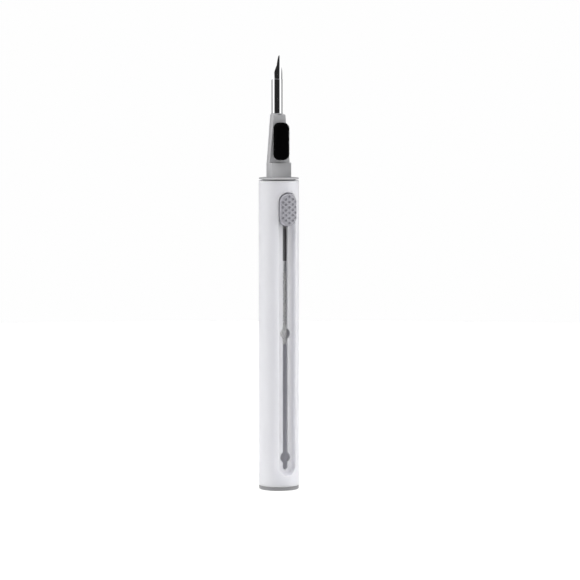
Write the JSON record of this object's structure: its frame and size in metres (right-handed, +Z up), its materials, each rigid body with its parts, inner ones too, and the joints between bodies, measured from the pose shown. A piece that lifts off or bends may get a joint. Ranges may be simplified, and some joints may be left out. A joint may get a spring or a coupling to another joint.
{
  "type": "lens cleaning pen",
  "caption": "Slim white cleaning pen with a steel point, a flocked pad, and a round brush pushed out of its foot by a thumb slide.",
  "frame": {"origin": "centre of the foot, on the barrel's axis", "axes": "+Z runs up the barrel to the nib; -Y is the front, with the slide button, its track and the sponge pad; +X is to the right, seen from the front"},
  "size_m": [0.013, 0.0136, 0.1404],
  "materials": {
    "white_abs": "satin moulded",
    "grey_abs": "satin moulded",
    "ring_abs": "satin moulded",
    "button_abs": "satin moulded",
    "polished_steel": "polished",
    "spring_steel": "bright",
    "aluminium_ferrule": "drawn",
    "dark_acetal": "satin",
    "clear_resin": "glossy",
    "nylon_bristle": "fine filament",
    "black_flock": "flocked",
    "pale_plate": "satin",
    "acrylic_tape": "matte"
  },
  "bodies": {
    "barrel": {"barrel": "white_abs", "end_ring": "ring_abs", "tip_holder": "grey_abs", "nib": "polished_steel", "pad_adhesive": "acrylic_tape", "pad_backing": "pale_plate", "flocking_sponge": "black_flock"},
    "slider": {"slide_button": "button_abs", "detent_spring": "spring_steel", "carriage": "dark_acetal", "brush_holder": "dark_acetal", "brush_ferrule": "aluminium_ferrule", "tuft_plug": "clear_resin", "bristle_tuft": "nylon_bristle"}
  },
  "joints": [
    {"name": "brush_slide", "type": "slide", "parent": "barrel", "child": "slider", "axis": [0, 0, -1], "range_m": [0, 0.0803], "deforming": ["detent_spring"]}
  ]
}
